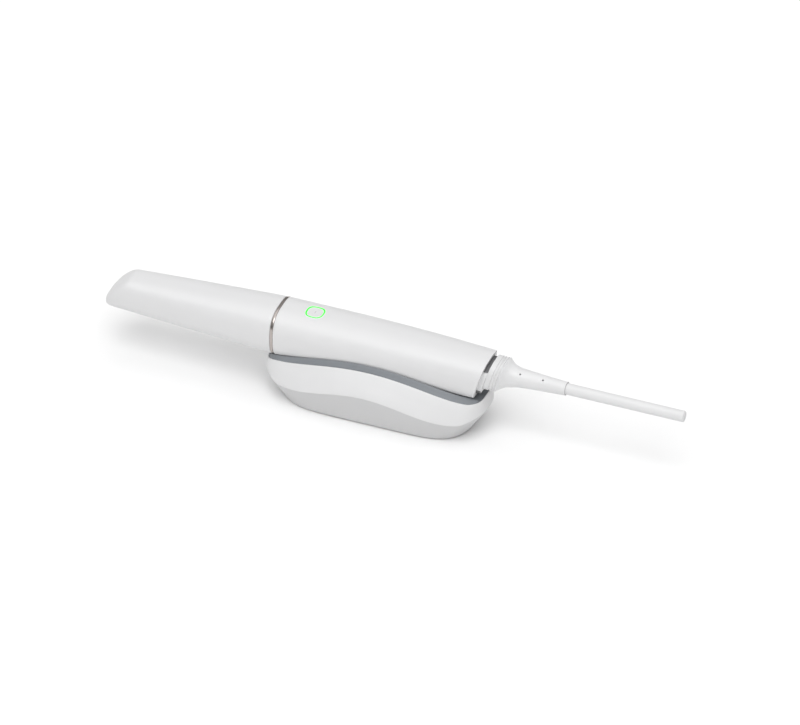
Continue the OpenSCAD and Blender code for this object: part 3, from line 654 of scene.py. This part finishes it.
def make_button():
    count = 96

    def ring(r, z, follow=True):
        out = []
        for px, py in squircle(r, count):
            base = top_height(BUTTON_X + px, py) if follow else HANDLE_TOP
            out.append(point(BUTTON_X + px, py, base + z))
        return out

    inner, outer = BUTTON_HALF + 0.09, BUTTON_RING + 0.08
    profile = [(inner, -2.3), (inner, -0.06), (inner + 0.06, 0.0), (inner + 0.2, 0.02), (outer - 0.2, 0.02),
               (outer - 0.06, 0.0), (outer, -0.06), (outer, -2.3)]
    led = new_object("button_light_ring", *skin([ring(r, z) for r, z in profile], looped=True))
    piece(led, "handpiece", M["led"], "led_green", "led_ring")

    edge = BUTTON_HALF
    rings = [ring(0.8, -3.2, False), ring(1.8, -3.2, False), ring(1.8, -2.0, False),
             ring(edge - 0.1, -2.0, False),
             ring(edge, -1.9, False), ring(edge, -0.3)]
    rings += [ring(edge - i, -0.02 - s) for s, i in fillet(0.28, 5)]
    for share in (0.86, 0.72, 0.55, 0.38, 0.2):
        rings.append(ring(edge * share, -0.02 - 0.16 * (1 - share ** 2)))
    cap = new_object("button_cap_dished", *skin(rings))
    piece(cap, "button", M["button"], "button_white", "button_cap")
    half_w, half_l = 0.16, 1.3
    outline = [(-half_w - 0.12, -half_l), (half_w - 0.12, -half_l), (half_w + 0.12, half_l),
               (-half_w + 0.12, half_l)]
    tick = prism("button_tick", outline, BUTTON_X, HANDLE_TOP - 0.6, HANDLE_TOP - 0.15)
    piece(tick, "button", M["tick"], "button_white")


make_housing()
make_button()

# ---- collar ring ----


def section(b, zt, zb, n, x, angles):
    return [point(x, *super_point(t, b, zt, zb, n)) for t in angles]


COLLAR_HOLE = (16.7, 15.0, -15.0, 2.7)


def make_collar():
    angles = even_angles(192, HANDLE_N)
    lip = 0.1
    rings = []
    for x, inset in [(RING_X0 + s, i) for s, i in fillet(0.35, 5, entering=True)] + [
        (HOUSING_X0 - 0.02 - s, i) for s, i in fillet(0.35, 5)
    ]:
        out = lip - inset
        rings.append(section(HANDLE_B + out, HANDLE_TOP + out, -HANDLE_LOW - out, HANDLE_N, x, angles))
    inner = [section(*COLLAR_HOLE, x, angles) for x in (HOUSING_X0 - 0.02, RING_X0)]
    obj = new_object("collar_band", *skin(rings + inner, looped=True))
    piece(obj, "handpiece", M["collar"], "collar_metal", "collar_ring")


make_collar()

# ---- tip ----

FRONT_R, CORNER_SOFT = 3.0, 1.2


def tip_fraction(x):
    return (x - TIP_CORNER_X) / (TIP_X1 - TIP_CORNER_X)


def soft_min(a, b, k):
    h = max(0.0, k - abs(a - b)) / k
    return min(a, b) - h * h * k / 4


def slant_line(x):
    start = TIP_CORNER_X + 0.7
    u = (start - x) / (start - TIP_X0)
    return TIP_TOP - SLANT_DROP * (0.58 * u + 0.42 * sp(u, 2.6))


def tip_zt(x):
    return soft_min(
        TIP_TOP + (HANDLE_TOP - TIP_TOP) * tip_fraction(x),
        slant_line(x),
        CORNER_SOFT,
    )


def tip_low_line(x):
    return -TIP_LOW + (TIP_LOW - HANDLE_LOW) * tip_fraction(x)


def tip_zb(x):
    d = max(0.0, TIP_X0 + FRONT_R - x) / FRONT_R
    return tip_low_line(x) + FRONT_R * (1 - math.sqrt(max(0.0, 1 - d * d)))


def tip_half(x):
    d = min(1.0, max(0, TIP_X0 + 14 - x) / 14)
    return (TIP_B + (HANDLE_B - TIP_B) * tip_fraction(x)) * (1 - 0.22 * d ** 2.4)


def tip_n(x):
    return 3.8 - (3.8 - HANDLE_N) * tip_fraction(x)


def tip_section(x, inset, angles, scale=1.0, ahead=0.0):
    n = tip_n(x)
    zt, zb = tip_zt(x) - inset, tip_zb(x) + inset
    mid = (zt + zb) / 2
    zt, zb = mid + (zt - mid) * scale, mid + (zb - mid) * scale
    return section((tip_half(x) - inset) * scale, zt, zb, n, x - ahead, angles)


MOUTH_X, MOUTH_REACH, MOUTH_HALF_Y = -194, 6.5, 7.5


def make_tip():
    angles = even_angles(176, 3.4)
    nose_x = TIP_X0 + 0.5
    rings = [tip_section(nose_x, 0, angles, s, a) for s, a in
             ((0.15, 0.47), (0.45, 0.46), (0.7, 0.44), (0.84, 0.4), (0.92, 0.33), (0.965, 0.22), (0.99, 0.1))]
    xs = [nose_x + 4.5 * (1 - math.cos(math.radians(a))) for a in range(0, 91, 6)]
    xs += [xs[-1] + 0.45 * k for k in range(1, 29)]
    start = xs[-1]
    xs += [start + (TIP_X1 - start) * (k / 30) for k in range(1, 30)]
    rings += [tip_section(x, 0, angles) for x in xs]
    rings += [tip_section(TIP_X1 - s, i, angles) for s, i in fillet(0.35, 5)]
    inner = []
    for x in [TIP_X1, -90, -110, -130, -150, -170, -178, -181, -183, -184.6, -186.5, -188.5, -190.5, -192.5,
              -194.2,
              -195.4, -196.2, -197]:
        zt = tip_zt(x - 1.7) - TIP_WALL
        zb = tip_low_line(x) + TIP_WALL
        mid = (zt + zb) / 2
        inner.append(section(tip_half(x) - TIP_WALL, max(zt, mid + 0.4), min(zb, mid - 0.4), tip_n(x), x,
                             angles))
    obj = new_object("tip_body", *skin(rings + inner), 38)
    window = [
        (MOUTH_X + MOUTH_REACH + MOUTH_REACH * sp(math.cos(a), 0.4), MOUTH_HALF_Y * sp(math.sin(a), 0.4))
        for a in circle_angles(64)
    ]
    cut(obj, prism("window_tool", window, 0, -20, -8), 38)
    piece(obj, "tip", M["tip"], "tip_white", "tip_shell")


make_tip()

# ---- rear: bezel, throat, vent ribs ----


def leaned(shift, b, zt, zb, n, angles, share=1.0):
    out = []
    for t in angles:
        y, z = super_point(t, b, zt, zb, n)
        out.append(point(HOUSING_X1 + shift - share * rear_lean(REAR_TOP - z), y, z))
    return out


def make_rear():
    angles = even_angles(160, 2.9)
    hole = (8.25, 8.45, -6.05)

    def grown(shift, form, by, n):
        return leaned(shift, form[0] + by, form[1] + by, form[2] - by, n, angles)

    rings = [leaned(-4, *hole, 7, angles), grown(-4, BEZEL, 0, HANDLE_N), grown(-0.12, BEZEL, 0, HANDLE_N)]
    rings += [grown(0, BEZEL, -0.1, HANDLE_N), grown(-0.05, THROAT, 0.95, THROAT_N)]
    rings += [grown(-0.2, THROAT, 0.85, THROAT_N), grown(-0.3, THROAT, 0, THROAT_N)]
    rings += [grown(THROAT_OUT - s, THROAT, -i, THROAT_N) for s, i in fillet(0.12, 4)]
    rings += [leaned(THROAT_OUT, *hole, 7, angles)]
    obj = new_object("rear_bezel", *skin(rings, looped=True))
    piece(obj, "handpiece", M["frame_white"], "housing_white", "rear_frame")


VENT_ARCS = ((46, 134), (206, 334))
VENT_STEP, VENT_LEAN, VENT_HALF = 4.0, 5.0, 0.9


def make_vent():
    """A dark backing with fine slanted ribs over it, in the two arcs of the slot."""
    parts = []

    def arc_point(t, shift, grow):
        y, z = super_point(t, THROAT[0] + grow, THROAT[1] + grow, THROAT[2] - grow, THROAT_N)
        return point(HOUSING_X1 + shift - rear_lean(REAR_TOP - z), y, z)

    for t0, t1 in VENT_ARCS:
        count = 60
        arcs = []
        for shift in (-0.28, 0.4, THROAT_OUT - 0.5, THROAT_OUT - 0.1):
            outer = [arc_point(t0 + (t1 - t0) * i / count, shift, 0.62) for i in range(count + 1)]
            inner = [arc_point(t0 + (t1 - t0) * i / count, shift, 0.05) for i in range(count + 1)]
            arcs.append((outer, inner))
        parts.append(new_object("vent_backing", *band(arcs)))
        k = 0
        t = t0 + 1.5
        while t < t1 - 7:
            ring_a, ring_b = [], []
            for shift, ring in ((-0.2, ring_a), (THROAT_OUT - 0.15, ring_b)):
                mid = t + (VENT_LEAN if ring is ring_b else 0)
                for dt, grow in (
                    (-VENT_HALF, 0.5),
                    (-VENT_HALF, 0.86),
                    (VENT_HALF, 0.86),
                    (VENT_HALF, 0.5),
                ):
                    ring.append(arc_point(mid + dt, shift, grow))
            parts.append(new_object(f"vent_rib_{k}", *skin([ring_a, ring_b])))
            t += VENT_STEP
            k += 1
    obj = join(parts)
    obj.name = "vent_ribs"
    soften(obj.data, 30)
    piece(obj, "handpiece", M["grille"], "grille_dark", "vent_grille")


make_rear()
make_vent()

# ---- plug and strain relief ----

PLUG_STATIONS = [
    (12.4, 11.2, 14.0, -8.4, 3.0, 1.0),
    (13.4, 10.5, 13.4, -7.6, 2.9, 0.97),
    (14.6, 9.4, 12.6, -6.2, 2.7, 0.85),
    (16.0, 8.4, 11.8, -4.5, 2.5, 0.6),
    (17.8, 7.6, 11.1, -4.1, 2.3, 0.32),
    (19.6, 7.15, 10.7, -3.7, 2.1, 0.1),
    (21.0, 6.9, LEAD_Z + 6.9, LEAD_Z - 6.9, 2.0, 0.0),
]
RIB_PITCH, RIB_DEPTH = 1.95, 0.6


def make_plug():
    angles = even_angles(144, 2.6)
    start = THROAT_OUT + 0.06

    def block(shift, inset):
        return leaned(shift, 11.4 - inset, 14.2 - inset, -8.6 + inset, 3, angles)

    rings = [leaned(start, 6.4, 6.6, -4.2, 3, angles), leaned(start, 10, 12.8, -7.2, 3, angles)]
    rings += [block(start + s, i) for s, i in fillet(0.14, 4, entering=True)]
    for k in range(3):
        shift = 6.9 + RIB_PITCH * k
        steps = ((0, 0), (0.05, 0.08), (0.15, RIB_DEPTH), (0.4, RIB_DEPTH), (1.25, 0.06), (1.4, 0))
        rings += [block(shift + ds, i) for ds, i in steps]
    body = [block(12.05, 0)]
    body += [leaned(s[0], s[1], s[2], s[3], s[4], angles, s[5]) for s in PLUG_STATIONS]
    rings += smooth_rings(body, 5)
    obj = new_object("plug_body", *skin(rings))
    piece(obj, "lead", M["lead"], "lead_white", "plug_housing")


SLEEVE_END_R = 4.9
PIN_XS, PIN_ANGLE, PIN_R = (104.9, 121.5), 33, 0.68
PIN_BELOW, PIN_ABOVE = 3.2, 1.6


def sleeve_r(x):
    """The strain relief flares towards the plug."""
    return SLEEVE_END_R + 1.94 * ((SLEEVE_X1 - x) / 34) ** 1.3


def make_sleeve():
    rings = []

    def circle(x, r):
        return lead_circle(x, r, 72)

    length = SLEEVE_X1 - SLEEVE_X0
    for k in range(20):
        x = SLEEVE_X0 + 0.01 + (length - 0.6) * k / 19
        rings.append(circle(x, sleeve_r(x)))
    rings += [circle(SLEEVE_X1 - s, SLEEVE_END_R - i) for s, i in fillet(0.25, 4)]
    rings += [circle(SLEEVE_X1, 4.55), circle(SLEEVE_X1 - 0.8, 4.5), circle(SLEEVE_X1 - 0.8, 4.1)]
    obj = new_object("strain_sleeve", *skin(rings))
    for x in PIN_XS:
        for side in (-1, 1):
            a = math.radians(side * PIN_ANGLE)
            axis = Vector((0, -math.sin(a), math.cos(a)))
            across = Vector((0, math.cos(a), math.sin(a)))
            centre = Vector((x, 0, LEAD_Z))
            hole = []
            for depth in (sleeve_r(x) - PIN_BELOW, sleeve_r(x) + PIN_ABOVE):
                ring = []
                for b in circle_angles(28):
                    spoke = (Vector((1, 0, 0)) * math.cos(b) + across * math.sin(b)) * PIN_R
                    ring.append(point(*(centre + axis * depth + spoke)))
                hole.append(ring)
            cut(obj, new_object("pin_tool", *skin(hole)))
    piece(obj, "lead", M["lead"], "lead_white", "strain_relief")


make_plug()
make_sleeve()

# ---- cradle (heights from the table) ----


def ease(x, reach):
    return (1 - math.cos(math.radians(180 * min(abs(x), reach) / reach))) / 2


def rim_top(x):
    return AXIS - 1.55 - 21.3 * ease(x, 130)


def rim_edge(x):
    return AXIS - 5.75 - 15.2 * ease(min(x, 72), 112) - 2 * (max(0, -x - 66) / 12) ** 2


def shoulder_z(x):
    return AXIS - 19.7 - 10.3 * ease(x, 68) + 4 * ease(max(0, abs(x) - 66), 14)


PLAN = 208


def plan_ring(a, b, n, base, of_shoulder=0.0, of_rim=0.0):
    out = []
    for t in even_angles(PLAN, n, 0.6):
        c, s = math.cos(math.radians(t)), math.sin(math.radians(t))
        x = a * sp(0 if abs(c) < 1e-12 else c, 2 / n)
        y = b * sp(0 if abs(s) < 1e-12 else s, 2 / n)
        out.append(point(x, y, base + of_shoulder * shoulder_z(x) + of_rim * rim_edge(x), 0))
    return out


def wall_ring(w, inset, z0=0.6):
    """A curve of the straight wall; w runs from 0 at the foot, a long oval, to 1 at the shoulder's edge."""
    out = []
    for t in even_angles(PLAN, 3, 0.6):
        c, s = math.cos(math.radians(t)), math.sin(math.radians(t))
        c, s = (0 if abs(c) < 1e-12 else c), (0 if abs(s) < 1e-12 else s)
        foot = Vector(((FOOT_A - inset) * sp(c, 1 / 3), (FOOT_B - inset) * s))
        edge = Vector(((CRADLE_A - 0.6) * sp(c, 2 / 3), (CRADLE_B - 0.5) * sp(s, 2 / 3)))
        p = foot.lerp(edge, w)
        out.append(point(p.x, p.y, z0 + w * (shoulder_z(edge.x) - 2.2 - z0), 0))
    return out


def make_cradle():
    shoulder = [
        plan_ring(LINER_A + 0.1, LINER_B + 0.15, LINER_N, 0.3, 0, 1),
        plan_ring(LINER_A + 0.4, LINER_B + 0.6, 4.1, 0.3, 0, 1),
        plan_ring(LINER_A + 0.9, LINER_B + 2.6, 3.8, -0.1, 0.14, 0.86),
        plan_ring(CRADLE_A - 0.35, CRADLE_B - 4.6, 3.4, 0.9, 0.5, 0.5),
        plan_ring(CRADLE_A - 0.15, CRADLE_B - 1.6, 3.1, 1.4, 0.86, 0.14),
        plan_ring(CRADLE_A, CRADLE_B, 3, -0.3, 1),
        plan_ring(CRADLE_A - 0.1, CRADLE_B - 0.1, 3, -1.4, 1),
        wall_ring(1, 0),
    ]
    wall = [wall_ring(w, 0) for w in (0.97, 0.8, 0.6, 0.4, 0.2, 0.06, 0.03)] + [wall_ring(0, 0.6)]
    tub = [
        plan_ring(LINER_A - 0.2, LINER_B - 0.2, LINER_N, TUB_FLOOR_Z),
        plan_ring(LINER_A - 0.2, LINER_B - 0.2, LINER_N, 0.1, 0, 1),
        plan_ring(LINER_A - 0.1, LINER_B - 0.1, LINER_N, 0.25, 0, 1),
    ]
    cavity = [
        wall_ring(0, 3),
        plan_ring(FOOT_A - 4, FOOT_B - 3, 3.6, 4),
        plan_ring(FOOT_A - 3, FOOT_B - 2.5, 3.6, 12),
        plan_ring(FOOT_A - 3, FOOT_B - 3, 3.6, 19.5),
    ]
    obj = new_object("cradle_body", *skin(tub + smooth_rings(shoulder, 6) + wall + cavity), 40)
    piece(obj, "cradle", M["cradle"], "cradle_white", "cradle_shell")


def liner_half(x):
    return (LINER_B - 0.3) * (1 - (abs(x) / (LINER_A - 0.3)) ** LINER_N) ** (1 / LINER_N)


LINER_X1 = 78.6
LIP_SLOPE, REAR_FALL = 1.2, 0.25
LINER_FLOOR = TUB_FLOOR_Z + 0.02


def make_liner():
    count = 84

    def trough(x):
        """The trough follows the handle; its edge is the rim's top, or the liner's outline near the ends."""
        b, zt = handle_half(x) + FIT_GAP, handle_zt(x)
        zb = handle_zb(x) - FIT_GAP
        if x < 0:
            zb -= LIP_SLOPE * (max(0, abs(x) - 71) / 6) ** 2
        else:
            zb -= REAR_FALL * max(0, x - 72)
        by_rim = angle_at(rim_top(x) - AXIS - 0.35, zt, zb, HANDLE_N)
        by_plan = -math.degrees(math.acos(min(1, (liner_half(x) - 1.2) / b) ** (HANDLE_N / 2)))
        a = min(by_rim, by_plan)
        steps = [a - (180 + 2 * a) * i / count for i in range(count + 1)]
        return [Vector((p[0], p[1] + AXIS)) for p in (super_point(t, b, zt, zb, HANDLE_N) for t in steps)]

    def station(x):
        wall = trough(x)
        outer = Vector((liner_half(x), rim_edge(x)))
        rise = min(0.35, max(0.0, wall[0].y - outer.y))
        over = []
        for f, g in ((0.02, 0.55), (0.06, 0.85), (0.12, 1.0), (0.2, 0.96), (0.35, 0.76), (0.6, 0.44),
                     (0.82, 0.17)):
            y = wall[0].x + (outer.x - wall[0].x) * f
            z = outer.y + (wall[0].y - outer.y) * (g if f > 0.12 else 1.0) + rise * g
            over.append(Vector((y, z)))
        mirrored = [Vector((-p.x, p.y)) for p in over]
        top = list(reversed(over)) + wall + mirrored
        depth = outer.y - LINER_FLOOR
        low = []
        for i in range(len(top)):
            t = math.radians(-180 * i / (len(top) - 1))
            low.append(Vector((outer.x * sp(math.cos(t), 2 / 6),
                               outer.y - depth * abs(math.sin(t)) ** (2 / 6))))
        return [[point(x, p.x, p.y, 0) for p in line] for line in (top, low)]

    steps = 96
    xs = [LINER_X1 * math.sin(math.radians(90 * (2 * k / steps - 1))) for k in range(steps + 1)]
    obj = new_object("liner_trough", *band([station(x) for x in xs]), 40)
    piece(obj, "cradle", M["liner"], "liner_silicone", "cradle_liner")


make_cradle()
make_liner()

# ---- floor, world and lights ----


FLOOR_HALF = 30.0


def make_floor():
    mesh = bpy.data.meshes.new("floor")
    bm = bmesh.new()
    bmesh.ops.create_grid(bm, x_segments=8, y_segments=8, size=FLOOR_HALF)
    bm.to_mesh(mesh)
    bm.free()
    obj = bpy.data.objects.new("floor", mesh)
    bpy.context.scene.collection.objects.link(obj)
    mat = surface("floor_pale", (0.93, 0.93, 0.93), 0.9, grain=0.0, grain_size=20, tone=0.003, specular=0.0,
                  patch=900)
    mesh.materials.append(mat)


def soft_sun(name, place, spread, strength):
    """A distant soft light that shines from place towards the origin."""
    data = bpy.data.lights.new(name, "SUN")
    data.angle, data.energy = math.radians(spread), strength
    obj = bpy.data.objects.new(name, data)
    obj.location = place
    obj.rotation_euler = (-Vector(place)).to_track_quat("-Z", "Y").to_euler()
    bpy.context.scene.collection.objects.link(obj)


def make_light():
    world = bpy.data.worlds.new("studio")
    world.use_nodes = True
    tree = world.node_tree
    coords = tree.nodes.new("ShaderNodeTexCoord").outputs["Generated"]
    split = tree.nodes.new("ShaderNodeSeparateXYZ")
    tree.links.new(coords, split.inputs["Vector"])
    strength = remap(tree, split.outputs["Z"], 0.15, 0.65, 0.0, 1.0)
    background = tree.nodes["Background"]
    background.inputs["Color"].default_value = (1, 1, 1, 1)
    tree.links.new(strength, background.inputs["Strength"])
    bpy.context.scene.world = world
    soft_sun("key", (0.25, -1.1, 1.85), 45, 1.6)
    soft_sun("overhead", (0.1, 0.3, 2.2), 70, 0.65)


make_floor()
make_light()
bpy.context.scene.view_settings.view_transform = "Standard"
